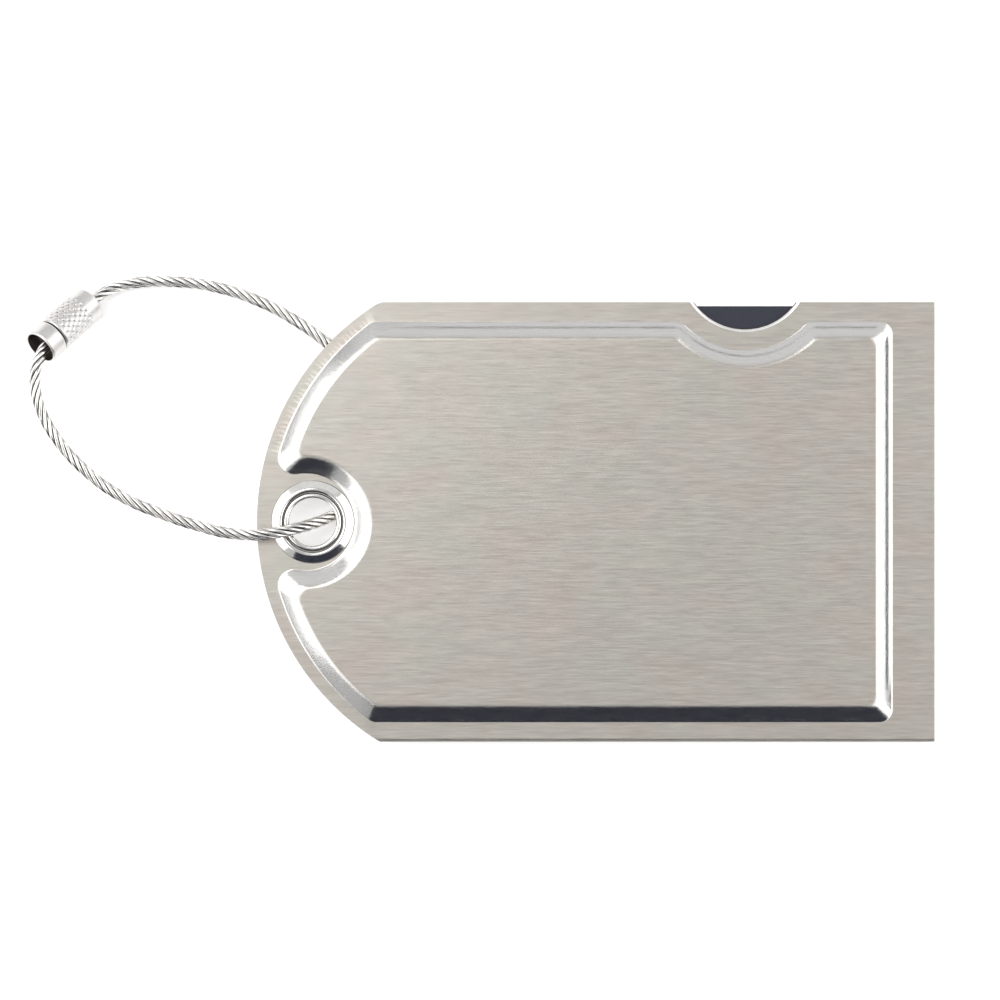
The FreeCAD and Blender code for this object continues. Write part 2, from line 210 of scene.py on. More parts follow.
def bump(mat, shader, height, distance):
    node = mat.node_tree.nodes.new("ShaderNodeBump")
    node.inputs["Strength"].default_value = 1.0
    node.inputs["Distance"].default_value = distance
    mat.node_tree.links.new(height, node.inputs["Height"])
    previous = shader.inputs["Normal"].links
    if previous:
        mat.node_tree.links.new(previous[0].from_socket, node.inputs["Normal"])
    mat.node_tree.links.new(node.outputs["Normal"], shader.inputs["Normal"])


def painted(mat, name):
    """A value that a mesh carries at its points."""
    node = mat.node_tree.nodes.new("ShaderNodeAttribute")
    node.attribute_name = name
    return node.outputs["Fac"]


def brushed_steel(name, low, high, roughness=0.36):
    """Sheet brushed along X: short fine streaks, faint warm and cool clouds, and
    smoother, brighter metal where the die has burnished it."""
    mat, shader = new_material(name, 1.0, roughness)
    streaks = noise(mat, place(mat, (260, 5600, 5600)), 4.0, 0.62)
    long_lines = noise(mat, place(mat, (70, 1700, 1700)), 3.0, 0.55)
    clouds = noise(mat, place(mat, (95, 150, 150)), 3.0, 0.55)
    fine = ramp(mat, streaks, [(0.3, low), (0.7, high)])
    broad = ramp(mat, long_lines, [(0.32, (0.94, 0.94, 0.94)), (0.68, (1.0, 1.0, 1.0))])
    tint = ramp(mat, clouds, [(0.3, (1.0, 0.955, 0.94)), (0.5, (0.985, 0.98, 0.965)),
                              (0.7, (0.965, 1.0, 0.975))])
    brushed = mix(mat, mix(mat, fine, broad, 1.0, "MULTIPLY"), tint, 1.0, "MULTIPLY")
    burnish = painted(mat, "burnish")
    bare = ramp(mat, streaks, [(0.3, (0.66, 0.65, 0.64)), (0.7, (0.76, 0.755, 0.74))])
    color = mix(mat, brushed, bare, burnish)
    mat.node_tree.links.new(color, shader.inputs["Base Color"])
    rough = spread(mat, streaks, roughness - 0.05, roughness + 0.06)
    smoother = mat.node_tree.nodes.new("ShaderNodeMath")
    smoother.operation = "MULTIPLY_ADD"
    smoother.inputs[1].default_value = -BURNISHED_BY
    mat.node_tree.links.new(burnish, smoother.inputs[0])
    mat.node_tree.links.new(rough, smoother.inputs[2])
    mat.node_tree.links.new(smoother.outputs[0], shader.inputs["Roughness"])
    bump(mat, shader, streaks, 0.000012)
    bump(mat, shader, clouds, 0.00006)
    return mat


def bright_plate(name, color, roughness, wear=0.08):
    """Plated metal with faint scuffs, and painted shade where the mesh says it is recessed."""
    mat, shader = new_material(name, 1.0, roughness)
    scuffs = noise(mat, place(mat, (900, 900, 900)), 5.0, 0.65)
    dark = tuple(c * (1 - wear) for c in color)
    base_tone = ramp(mat, scuffs, [(0.35, dark), (0.6, color)])
    # dark brownish tone mixed in by the mesh's per-point value: painted shade in recesses and
    # joints
    painted_shade_tone = ramp(mat, scuffs, [(0.3, (0.05, 0.04, 0.035)), (0.7, (0.15, 0.125, 0.11))])
    tone = mix(mat, base_tone, painted_shade_tone, painted(mat, "painted_shade"))
    mat.node_tree.links.new(tone, shader.inputs["Base Color"])
    mat.node_tree.links.new(spread(mat, scuffs, roughness - 0.03, roughness + 0.08),
                            shader.inputs["Roughness"])
    bump(mat, shader, scuffs, 0.000008)
    return mat


def strand_steel(name):
    """Drawn wire: each strand shows its own fine twisted wires, with painted shade in the grooves
    between the wires and in the gaps between the strands.
    """
    mat, shader = new_material(name, 1.0, 0.22)
    nodes, links = mat.node_tree.nodes, mat.node_tree.links
    uv = nodes.new("ShaderNodeUVMap")
    uv.uv_map = "along"
    mapping = nodes.new("ShaderNodeMapping")
    mapping.inputs["Scale"].default_value = (1.0, 6.0, 1.0)
    links.new(uv.outputs["UV"], mapping.inputs["Vector"])
    wires = nodes.new("ShaderNodeTexWave")
    wires.wave_type = "BANDS"
    wires.bands_direction = "DIAGONAL"
    wires.inputs["Scale"].default_value = 0.5
    links.new(mapping.outputs["Vector"], wires.inputs["Vector"])
    scuffs = noise(mat, place(mat, (2500, 2500, 2500)), 3.0, 0.6)
    tone = ramp(mat, scuffs, [(0.3, (0.80, 0.78, 0.75)), (0.65, (0.95, 0.94, 0.92))])
    # darker bands: painted shade in the grooves between the fine wires
    painted_groove_shade = ramp(mat, wires.outputs["Fac"], [(0.0, (0.72, 0.71, 0.69)), (0.45, (1, 1, 1))])
    # dark tone mixed in by the mesh's per-point value: painted shade in the gaps between strands
    # and on the core
    painted_shade_tone = ramp(mat, scuffs, [(0.3, (0.05, 0.045, 0.04)), (0.7, (0.13, 0.12, 0.11))])
    base_tone = mix(mat, tone, painted_groove_shade, 1.0, "MULTIPLY")
    links.new(mix(mat, base_tone, painted_shade_tone, painted(mat, "painted_shade")), shader.inputs["Base Color"])
    bump(mat, shader, wires.outputs["Fac"], 0.00002)
    return mat


def card_stock(name):
    """Dark slate card with a fine paper tooth."""
    mat, shader = new_material(name, 0.0, 0.62)
    shader.inputs["Specular IOR Level"].default_value = 0.38
    tooth = noise(mat, place(mat, (5200, 5200, 5200)), 4.0, 0.6)
    flecks = noise(mat, place(mat, (700, 700, 700)), 2.0, 0.5)
    base = ramp(mat, tooth, [(0.3, (0.020, 0.022, 0.034)), (0.7, (0.031, 0.034, 0.051))])
    haze = ramp(mat, flecks, [(0.3, (0.92, 0.93, 0.95)), (0.7, (1.0, 1.0, 1.0))])
    mat.node_tree.links.new(mix(mat, base, haze, 1.0, "MULTIPLY"), shader.inputs["Base Color"])
    bump(mat, shader, tooth, 0.00003)
    return mat


def label_paper(name):
    """Uncoated paper with fibres and a slightly rough face."""
    mat, shader = new_material(name, 0.0, 0.75)
    fibres = noise(mat, place(mat, (2600, 5200, 2600)), 4.0, 0.65)
    blotch = noise(mat, place(mat, (160, 160, 160)), 2.0, 0.5)
    base = ramp(mat, fibres, [(0.3, (0.82, 0.81, 0.77)), (0.7, (0.9, 0.89, 0.86))])
    warm = ramp(mat, blotch, [(0.3, (0.98, 0.97, 0.94)), (0.7, (1.0, 1.0, 1.0))])
    mat.node_tree.links.new(mix(mat, base, warm, 1.0, "MULTIPLY"), shader.inputs["Base Color"])
    bump(mat, shader, fibres, 0.00002)
    return mat


def label_ink(name):
    mat, shader = new_material(name, 0.0, 0.6)
    grain = noise(mat, place(mat, (4200, 4200, 4200)), 3.0, 0.6)
    tone = ramp(mat, grain, [(0.3, (0.09, 0.10, 0.12)), (0.7, (0.14, 0.15, 0.17))])
    mat.node_tree.links.new(tone, shader.inputs["Base Color"])
    bump(mat, shader, grain, 0.00001)
    return mat


STEEL_FRONT = brushed_steel("steel_front", (0.54, 0.508, 0.468), (0.62, 0.588, 0.544))
STEEL_REAR = brushed_steel("steel_rear", (0.50, 0.48, 0.45), (0.57, 0.545, 0.51), 0.4)
EYELET_METAL = bright_plate("eyelet_nickel", (0.84, 0.83, 0.81), 0.08)
CLASP_METAL = bright_plate("clasp_nickel", (0.72, 0.705, 0.685), 0.33)
# near-white cut edge: bare steel, coloured brighter than the sheet as a painted highlight; its
# underside carries painted shadow
CUT_EDGE_HIGHLIGHT_AND_SHADOW = bright_plate("cut_edge_highlight_and_shadow", (0.95, 0.95, 0.94), 0.3, 0.04)
FERRULE_METAL = bright_plate("ferrule_alloy", (0.66, 0.66, 0.66), 0.42, 0.15)
STRAND_METAL = strand_steel("cable_strands")
CARD_MATERIAL = card_stock("slate_card")
PAPER_MATERIAL = label_paper("label_paper")
INK_MATERIAL = label_ink("label_ink")


# ---- mesh helpers ------------------------------------------------------------
SHARP = math.radians(38)


def make_piece(name, bm, material, sharp=SHARP):
    """Finished object from a bmesh in millimetres: smooth, with hard edges kept."""
    bmesh.ops.remove_doubles(bm, verts=bm.verts, dist=1e-4)
    bmesh.ops.recalc_face_normals(bm, faces=bm.faces)
    for face in bm.faces:
        face.smooth = True
    for edge in bm.edges:
        if len(edge.link_faces) == 2:
            edge.smooth = edge.calc_face_angle(0) < sharp
    bmesh.ops.scale(bm, vec=(MM, MM, MM), verts=bm.verts)
    mesh = bpy.data.meshes.new(name)
    bm.to_mesh(mesh)
    bm.free()
    mesh.materials.append(material)
    obj = bpy.data.objects.new(name, mesh)
    bpy.context.scene.collection.objects.link(obj)
    return obj


def settle(obj, body, node):
    """Fixes a piece to its body in place of its CAD node."""
    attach(obj, body)
    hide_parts(node)


def rounded(points, steps=4):
    """Closed profile whose corners (x, y, radius) are rounded by arcs."""
    out = []
    for i, (x, y, radius) in enumerate(points):
        here = Vector((x, y))
        before = Vector(points[i - 1][:2]) - here
        after = Vector(points[(i + 1) % len(points)][:2]) - here
        if radius <= 0:
            out.append((x, y))
            continue
        half = before.angle(after) / 2
        reach = min(radius / math.tan(half), before.length * 0.49, after.length * 0.49)
        radius = reach * math.tan(half)
        way = (before.normalized() + after.normalized()).normalized()
        centre = here + way * (radius / math.sin(half))
        start = here + before.normalized() * reach - centre
        end = here + after.normalized() * reach - centre
        first = math.atan2(start.y, start.x)
        turn = (math.atan2(end.y, end.x) - first + math.pi) % (2 * math.pi) - math.pi
        for k in range(steps + 1):
            angle = first + turn * k / steps
            out.append((centre.x + radius * math.cos(angle),
                        centre.y + radius * math.sin(angle)))
    return out


def densify(profile, spacing):
    """Splits a closed profile's long runs."""
    out = []
    for i, a in enumerate(profile):
        b = profile[(i + 1) % len(profile)]
        count = max(1, int(math.dist(a, b) / spacing))
        out += [(a[0] + (b[0] - a[0]) * k / count, a[1] + (b[1] - a[1]) * k / count)
                for k in range(count)]
    return out


def bridge(bm, rows):
    """Quads between each closed row of points and the next."""
    for a, b in zip(rows, rows[1:]):
        for i in range(len(a)):
            j = (i + 1) % len(a)
            bm.faces.new((a[i], a[j], b[j], b[i]))


def lathe(profile, turns, relief=None, painted_shade=None):
    """Ring solid from a closed (radius, height) profile; relief(angle, r, z) moves r,
    and the last function, of (angle, r, z), says how much painted shade darkens the metal there,
    from 0 to 1."""
    bm = bmesh.new()
    shade_layer = bm.verts.layers.float.new("painted_shade")
    rings = []
    for k in range(turns):
        angle = 2 * math.pi * k / turns
        ring = []
        for radius, height in profile:
            r = radius + (relief(angle, radius, height) if relief else 0.0)
            vert = bm.verts.new((r * math.cos(angle), r * math.sin(angle), height))
            # painted shade stored at each point, from 0 to 1
            vert[shade_layer] = painted_shade(angle, radius, height) if painted_shade else 0.0
            ring.append(vert)
        rings.append(ring)
    bridge(bm, rings + rings[:1])
    return bm


def lay_on_clasp(bm):
    turn = AXIS.to_track_quat("Z", "Y").to_matrix().to_4x4()
    bmesh.ops.transform(bm, matrix=Matrix.Translation(CLASP_ORIGIN) @ turn, verts=bm.verts)
    return bm


def move_to_eyelet(bm):
    bmesh.ops.translate(bm, vec=(EYE_X, 0, 0), verts=bm.verts)
    return bm


# ---- the panel's outline, with the same corners at every inset ---------------
PANEL_RIGHT = CASE_LENGTH / 2 - 7.2
PANEL_HALF = TOP - 3.5
WALL_FOOT = -0.45       # insets from the panel's outline
WALL_TOP = 2.65
SIDES = {
    "nose": (NOSE_X, 0.0, NOSE_R - FLANGE, -1),
    "eye": (EYE_X - EYE_CUT_SHIFT, 0.0, EYE_CUT_R, 1),
    "notch": (NOTCH_X, NOTCH_Y, NOTCH_PANEL_R, 1),
}
# corner: its rounding at the wall's foot and at its top, and the sides before and after
UPPER = [("right", 2.0, 1.6, "right", "long"), ("notch_right", 2.2, 1.8, "long", "notch"),
         ("notch_left", 2.2, 1.8, "notch", "long"), ("shoulder", 2.2, 1.8, "long", "nose"),
         ("lobe", 2.6, 1.5, "nose", "eye")]
LOWER = [("lobe", 2.6, 1.5, "eye", "nose"), ("shoulder", 2.2, 1.8, "nose", "long"),
         ("right", 2.0, 1.6, "long", "right")]
SIDE_COUNT = {"right": 60, "long": 50, "notch": 40, "nose": 70, "eye": 60}
CORNER_COUNT = 12


def round_side(name, inset):
    x, y, radius, sign = SIDES[name]
    return Vector((x, y)), radius + sign * inset


def sharp_corner(name, inset):
    half = PANEL_HALF - inset
    if name == "right":
        return Vector((PANEL_RIGHT - inset, half))
    if name.startswith("notch"):
        centre, radius = round_side("notch", inset)
        reach = math.sqrt(radius ** 2 - (centre.y - half) ** 2)
        return Vector((centre.x + (reach if name == "notch_right" else -reach), half))
    centre, radius = round_side("nose", inset)
    if name == "shoulder":
        return Vector((centre.x - math.sqrt(radius ** 2 - half ** 2), half))
    eye, eye_radius = round_side("eye", inset)
    apart = centre.x - eye.x
    along = (radius ** 2 - eye_radius ** 2 + apart ** 2) / (2 * apart)
    return Vector((centre.x - along, math.sqrt(radius ** 2 - along ** 2)))


def touch(side, centre, inset, sign):
    if side == "right":
        return Vector((PANEL_RIGHT - inset, centre.y))
    if side == "long":
        return Vector((centre.x, sign * (PANEL_HALF - inset)))
    middle, radius = round_side(side, inset)
    return middle + (centre - middle).normalized() * radius


def sweep(centre, start, end, count, clockwise=False):
    """Points from start towards end round a centre, without the end."""
    a = math.atan2(start.y - centre.y, start.x - centre.x)
    b = math.atan2(end.y - centre.y, end.x - centre.x)
    turn = (b - a + math.pi) % (2 * math.pi) - math.pi
    if clockwise and turn > 0:
        turn -= 2 * math.pi
    radius = (start - centre).length
    return [centre + radius * Vector((math.cos(a + turn * k / count),
                                      math.sin(a + turn * k / count)))
            for k in range(count)]


def panel_ring(inset):
    """Points round the panel at one inset, always the same number of them."""
    stops = []
    across = (inset - WALL_FOOT) / (WALL_TOP - WALL_FOOT)
    for (name, foot, top, before, after), sign in (
            [(c, 1) for c in UPPER] + [(c, -1) for c in LOWER]):
        radius = foot + (top - foot) * across
        centre = sharp_corner(name, inset + radius)
        centre.y *= sign
        stops.append((centre, touch(before, centre, inset, sign),
                      touch(after, centre, inset, sign), after))
    points = []
    for i, (centre, start, end, side) in enumerate(stops):
        following = stops[(i + 1) % len(stops)][1]
        points += sweep(centre, start, end, CORNER_COUNT)
        count = SIDE_COUNT[side]
        if side in ("right", "long"):
            points += [end.lerp(following, k / count) for k in range(count)]
        else:
            middle = round_side(side, inset)[0]
            points += sweep(middle, end, following, count, side == "eye")
    return points


WALL_STEPS = 36
# slope of the wall at places across it: tight foot, even wall, soft shoulder
WALL_SLOPES = [(0.0, 0.0), (0.07, 1.0), (0.68, 0.85), (0.86, 0.45), (1.0, 0.0)]
# the same with the line that the die leaves in the top and right walls
STRUCK_SLOPES = [(0.0, 0.0), (0.07, 0.80), (0.24, 0.82), (0.28, 0.98), (0.37, 0.98), (0.42, 0.84),
                 (0.68, 0.8), (0.86, 0.45), (1.0, 0.0)]
STRUCK_FROM = (-36.0, -27.5)    # that line fades in from this x and y
STRUCK_FADE = (14.0, 4.0)


def wall_profile(table):
    """(inset, height over the flange, burnish) from the wall's foot to its top."""
    places = np.linspace(0.0, 1.0, WALL_STEPS)
    slopes = np.interp(places, *zip(*table))
    rises = np.concatenate([[0], np.cumsum((slopes[1:] + slopes[:-1]) / 2)])
    heights = EMBOSS * rises / rises[-1]
    insets = WALL_FOOT + (WALL_TOP - WALL_FOOT) * places
    burnish = np.clip(slopes * 1.3 - 0.12, 0.0, 1.0)
    return list(zip(insets, heights, burnish))


def struck_share(x, y):
    """0 on the walls round the nose and along the bottom, 1 on the top and right walls."""
    share = min(1.0, max(0.0, (x - STRUCK_FROM[0]) / STRUCK_FADE[0]),
                max(0.0, (y - STRUCK_FROM[1]) / STRUCK_FADE[1]))
    return share * share * (3 - 2 * share)


# ---- front shell -------------------------------------------------------------
def flange_outline():
    """Edge of the flat flange, from the hems' corner round to it again."""
    top_reach = math.sqrt(NOSE_R ** 2 - TOP ** 2)
    bottom_reach = math.sqrt(NOSE_R ** 2 - BOTTOM ** 2)
    notch = Vector((NOTCH_X, NOTCH_Y))
    half_chord = math.sqrt(NOTCH_R ** 2 - (NOTCH_Y - TOP) ** 2)
    right_end = Vector((NOTCH_X + half_chord, TOP))
    left_end = Vector((NOTCH_X - half_chord, TOP))
    points = [Vector((RIGHT, BOTTOM)), Vector((RIGHT, TOP))]
    points += sweep(notch, right_end, left_end, 48)
    points.append(left_end)
    shoulder = Vector((NOSE_X - top_reach, TOP))
    ease = 0.5
    points.append(shoulder + Vector((ease, 0)))
    points.append(shoulder + Vector((ease * 0.25, -ease * 0.12)))
    nose = Vector((NOSE_X, 0))
    start = nose + (shoulder + Vector((-0.3, -ease)) - nose).normalized() * NOSE_R
    low_end = Vector((NOSE_X - bottom_reach, BOTTOM))
    points += sweep(nose, start, low_end, 120)
    points.append(low_end)
    return points


def build_front_shell():
    bm = bmesh.new()
    worn = bm.verts.layers.float.new("burnish")
    outline = [bm.verts.new((p.x, p.y, FRONT_Z)) for p in flange_outline()]
    hole = [bm.verts.new((EYE_X + SHEET_HOLE_R * math.cos(a), SHEET_HOLE_R * math.sin(a), FRONT_Z))
            for a in np.linspace(0, 2 * math.pi, 64, endpoint=False)]
    rings = []
    for plain, struck in zip(wall_profile(WALL_SLOPES), wall_profile(STRUCK_SLOPES)):
        inset, height, burnish = plain
        rise = struck[1] - height
        rings.append([bm.verts.new((p.x, p.y, FRONT_Z + height + rise * struck_share(p.x, p.y)))
                      for p in panel_ring(inset)])
        for vert in rings[-1]:
            vert[worn] = burnish
    bridge(bm, rings)

    def closed(loop):
        found = []
        for i, v in enumerate(loop):
            w = loop[(i + 1) % len(loop)]
            found.append(bm.edges.get((v, w)) or bm.edges.new((v, w)))
        return found

    bmesh.ops.triangle_fill(bm, use_beauty=True,
                            edges=closed(outline) + closed(hole) + closed(rings[0]))
    bmesh.ops.triangle_fill(bm, use_beauty=True, edges=closed(rings[-1]))
    # hems: half a turn of sheet, then the lip under the rear sheet
    end_turn = [(FOLD * math.sin(a), BEND_Z + BEND_R * math.cos(a))
                for a in np.linspace(0, math.pi, 11)]
    bevel = [(FOLD_LONG * t, BEND_R - 0.85 * FOLD_LONG * t) for t in np.linspace(0, 1, 5)]
    long_turn = ([(o, BEND_Z + drop) for o, drop in bevel] + [(FOLD_LONG, BEND_Z)]
                 + [(o, BEND_Z - drop) for o, drop in reversed(bevel)])
    corner = outline[0]
    right_end = outline[1]
    left_end = outline[-1]

    def nose_at(y):
        return NOSE_X - math.sqrt(NOSE_R ** 2 - y ** 2)

    def strip(end, out, mitre, section):
        rows = [[corner, end]]
        for o, z in section[1:]:
            row = [bm.verts.new((corner.co.x + out[0] * o, corner.co.y + out[1] * o, z))]
            x, y = end.co.x + out[0] * o, end.co.y + out[1] * o
            row.append(bm.verts.new((x if out[0] else nose_at(y), y, z)))
            rows.append(row)
        z = section[-1][1]
        x, y = end.co.x - out[0] * LIP, end.co.y - out[1] * LIP
        rows.append([
            bm.verts.new((corner.co.x - mitre[0] * LIP, corner.co.y - mitre[1] * LIP, z)),
            bm.verts.new((x if out[0] else nose_at(-TOP), y, z)),
        ])
        for a, b in zip(rows, rows[1:]):
            bm.faces.new((a[0], a[1], b[1], b[0]))

    strip(right_end, (1, 0), (1, -1), end_turn)
    strip(left_end, (0, -1), (1, -1), long_turn)
    # the ball corner between the two hems
    fan = 8
    previous = None
    for k in range(fan + 1):
        a = -math.pi / 2 * k / fan
        blend = np.array(end_turn) * (1 - k / fan) + np.array(long_turn) * k / fan
        column = [bm.verts.new((RIGHT + math.cos(a) * o, BOTTOM + math.sin(a) * o, z))
                  for o, z in blend]
        if previous:
            for i in range(len(end_turn) - 1):
                quad = [previous[i], previous[i + 1], column[i + 1], column[i]]
                bm.faces.new(quad)
        previous = column
    bmesh.ops.remove_doubles(bm, verts=bm.verts, dist=1e-4)
    bmesh.ops.dissolve_degenerate(bm, edges=bm.edges, dist=1e-4)
    return make_piece("front_shell_skin", bm, STEEL_FRONT)


def crisp(obj):
    """Marks the hard edges again and lets the large flat faces set the shading."""
    bm = bmesh.new()
    bm.from_mesh(obj.data)
    for face in bm.faces:
        face.smooth = True
    for edge in bm.edges:
        edge.smooth = len(edge.link_faces) == 2 and edge.calc_face_angle(0) < SHARP
    bm.to_mesh(obj.data)
    bm.free()
    weighted = obj.modifiers.new("flat_faces", "WEIGHTED_NORMAL")
    weighted.keep_sharp = True
    weighted.weight = 90
    bake_modifiers(obj)


def bake_modifiers(obj):
    """Replaces an object's mesh by what its modifiers make of it."""
    graph = bpy.context.evaluated_depsgraph_get()
    made = bpy.data.meshes.new_from_object(obj.evaluated_get(graph))
    obj.modifiers.clear()
    old = obj.data
    obj.data = made
    bpy.data.meshes.remove(old)


front = build_front_shell()
thick = front.modifiers.new("sheet", "SOLIDIFY")
thick.thickness = SHEET * MM
thick.offset = -1.0
bake_modifiers(front)
crisp(front)
settle(front, "case", "front_shell")


def build_cut_edge():
    """Bevelled edge of the sheet round the thumb notch, bright metal with a painted highlight, and
    painted shadow on its underside.
    """
    lip = 0.4
    # the skirt under the lip carries painted shadow
    shadow_skirt = lip + 0.13
    sunk = 0.03
    section = [(NOTCH_R + sunk, -0.01), (NOTCH_R - 0.08, -0.03), (NOTCH_R - lip, -0.3),
               (NOTCH_R - lip - 0.02, -0.32), (NOTCH_R - shadow_skirt, -0.35),
               (NOTCH_R - shadow_skirt, -SHEET), (NOTCH_R + sunk, -SHEET)]
    bm = bmesh.new()
    shade_layer = bm.verts.layers.float.new("painted_shade")
    rows = []
    steps = 60
    for k in range(steps + 1):
        row = []
        for radius, z in section:
            half = math.acos((NOTCH_Y - TOP) / radius)
            angle = -math.pi / 2 - half + 2 * half * k / steps
            row.append(bm.verts.new((NOTCH_X + radius * math.cos(angle),
                                     NOTCH_Y + radius * math.sin(angle), FRONT_Z + z)))
            # points under the lip get full painted shadow
            row[-1][shade_layer] = 1.0 if radius < NOTCH_R - lip - 0.01 else 0.0
        rows.append(row)
    bridge(bm, rows)
    bm.faces.new(rows[0])
    bm.faces.new(rows[-1][::-1])
    piece = make_piece("notch_cut_edge", bm, CUT_EDGE_HIGHLIGHT_AND_SHADOW)
    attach(piece, "case")


build_cut_edge()

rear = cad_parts["rear_shell"]
for slot_index in range(len(rear.material_slots)):
    rear.material_slots[slot_index].material = STEEL_REAR


# ---- eyelet ------------------------------------------------------------------
def build_eyelet():
    low = REAR_Z + 0.35
    back = REAR_Z + 0.7
    rim = FRONT_Z + 0.75
    roll = 0.45
    bend = 0.3
    ease = 0.05
    profile = [(EYE_HOLE_R + roll + roll * math.cos(a), rim - roll + roll * math.sin(a))
               for a in np.linspace(0, math.pi, 17)]
    profile += [(EYE_HOLE_R, low + bend)]
    profile += [(EYE_HOLE_R + bend - bend * math.cos(a), low + bend - bend * math.sin(a))
                for a in np.linspace(0.3, math.pi / 2, 6)]
    profile += [(EYE_REAR_R - ease, low), (EYE_REAR_R, low + ease), (EYE_REAR_R, back),
                (EYE_BARREL_R, back), (EYE_BARREL_R, FRONT_Z + ease), (EYE_RIM_R, FRONT_Z + ease)]

    # painted shade: the rim's outer edge, where it meets the washer, is darkened
    def painted_shade(angle, radius, height):
        return 0.9 if radius > EYE_RIM_R - 0.13 and height > FRONT_Z else 0.0

    tube = lathe(profile, 128, painted_shade=painted_shade)
    piece = make_piece("eyelet_tube", move_to_eyelet(tube), EYELET_METAL)
    settle(piece, "case", "eyelet_barrel")


def build_washer():
    """Dished ring: steep inside, then a long cone down to the sheet."""
    foot = FRONT_Z + 0.02
    inner_top = FRONT_Z + 0.45
    crest_in = 0.4          # the crest's distance from the ring's inside
    crest_rise = 0.34
    crest_r = WASHER_IN_R + crest_in
    cone_run = 1.3
    cone_fall = 0.69
    ease = 0.2              # share of the cone over which it steepens
    profile = [(WASHER_IN_R, foot), (WASHER_IN_R, inner_top)]
    profile += [(crest_r - crest_in * math.cos(a), inner_top + crest_rise * math.sin(a))
                for a in np.linspace(0.15, math.pi / 2, 9)]
    for t in np.linspace(0.0, 1.0, 15)[1:]:
        fallen = t * t / (2 * ease) if t < ease else t - ease / 2
        profile.append((crest_r + cone_run * t, inner_top + crest_rise - cone_fall * fallen))
    profile += [(WASHER_OUT_R, FRONT_Z + 0.08), (WASHER_OUT_R, foot)]

    # painted shade on the ring's inner edge against the eyelet and on its outer edge at the sheet
    def painted_shade(angle, radius, height):
        return 0.9 if radius < WASHER_IN_R + 0.1 or radius > WASHER_OUT_R - 0.05 else 0.0

    ring = lathe(profile, 128, painted_shade=painted_shade)
    piece = make_piece("eyelet_ring", move_to_eyelet(ring), EYELET_METAL)
    settle(piece, "case", "eyelet_washer")


build_eyelet()
build_washer()


# ---- clasp -------------------------------------------------------------------
def build_screw():
    pitch = 0.7
    thread_depth = 0.38
    thread_start = COLLAR + 0.35
    pocket_r = 1.5          # holds the crimp in the stud's end
    pocket_floor = STUD_END - 1.3
    unshaded_from = 2.6        # the collar's outer skin, past the edge of its mouth, which gets no painted shade

    def thread(angle, radius, height):
        if radius < STUD_R - 0.1 or not thread_start < height < STUD_END - 0.3:
            return 0.0
        phase = (height / pitch - angle / (2 * math.pi)) % 1.0
        return -thread_depth * (1 - abs(2 * phase - 1)) ** 0.8

    # painted shade: dark inside the mouth and bore, lighter on the stud's thread, none on the
    # outer skin
    def painted_shade(angle, radius, height):
        if radius > unshaded_from:
            return 0.0
        return 0.25 if radius > STUD_R - 0.1 and height > COLLAR else 0.78

    outline = [
        (MOUTH_R, 0.0, 0.08), (CLASP_R, 0.0, 0.2), (CLASP_R, COLLAR, 0.28),
        (STUD_R, COLLAR, 0.0), (STUD_R, STUD_END, 0.3), (pocket_r, STUD_END, 0.05),
        (pocket_r, pocket_floor, 0.0), (STUD_BORE_R, pocket_floor, 0.05),
        (STUD_BORE_R, MOUTH_DEPTH, 0.1), (MOUTH_R, MOUTH_DEPTH, 0.15),
    ]
    profile = densify(rounded(outline), 0.06)
    piece = make_piece("clasp_collar", lay_on_clasp(lathe(profile, 96, thread, painted_shade)),
                       CLASP_METAL, math.radians(50))
    settle(piece, "loop", "clasp_screw")


def build_sleeve():
    start = COLLAR + GAP
    floor = CLASP_LENGTH - SLEEVE_END_WALL
    grip = (start + 0.35, start + 6.2)
    around = 15
    along = 1.38
    depth = 0.24
    fade = 0.15

    def cut(angle, radius, height):
        if radius < CLASP_R - 0.02 or not grip[0] < height < grip[1]:
            return 0.0
        u = angle / (2 * math.pi) * around
        v = height / along
        lines = [abs((u + v) % 1.0 - 0.5) * 2, abs((u - v) % 1.0 - 0.5) * 2]
        edge = min(1.0, (height - grip[0]) / fade, (grip[1] - height) / fade)
        crossing = min(lines) ** 4
        return edge * (0.45 * max(lines) ** 4 + 0.55 * crossing)

    def knurl(angle, radius, height):
        return -depth * cut(angle, radius, height)

    # painted shade: dark in the bore, and in the knurl's pits by their depth
    def painted_shade(angle, radius, height):
        if radius < CLASP_R - 0.35:
            return 0.9
        return min(1.0, max(0.0, 3.2 * (cut(angle, radius, height) - 0.40)))

    outline = [
        (SLEEVE_BORE_R, start, 0.05), (CLASP_R, start, 0.3), (CLASP_R, CLASP_LENGTH, 0.42),
        (SLEEVE_HOLE_R, CLASP_LENGTH, 0.12), (SLEEVE_HOLE_R, floor, 0.05),
        (SLEEVE_BORE_R, floor, 0.1),
    ]
    profile = densify(rounded(outline, 6), 0.1)
    piece = make_piece("clasp_knurled_sleeve", lay_on_clasp(lathe(profile, 240, knurl, painted_shade)),
                       CLASP_METAL, math.radians(60))
    settle(piece, "sleeve", "clasp_sleeve")


def build_ferrule(name, node, body, start, end, radius):
    bore = CABLE_D / 2 + 0.03

    def pressed(angle, r, height):
        if r < radius - 0.01:
            return 0.0
        middle = abs(height - (start + end) / 2) / (end - start)
        return -0.09 * max(0.0, math.cos(3 * angle)) ** 2 * (1 - 2 * middle)

    outline = [(bore, start, 0.05), (radius, start, 0.2), (radius, end, 0.2), (bore, end, 0.05)]
    profile = densify(rounded(outline), 0.15)
    piece = make_piece(name, lay_on_clasp(lathe(profile, 72, pressed)), FERRULE_METAL)
    settle(piece, body, node)


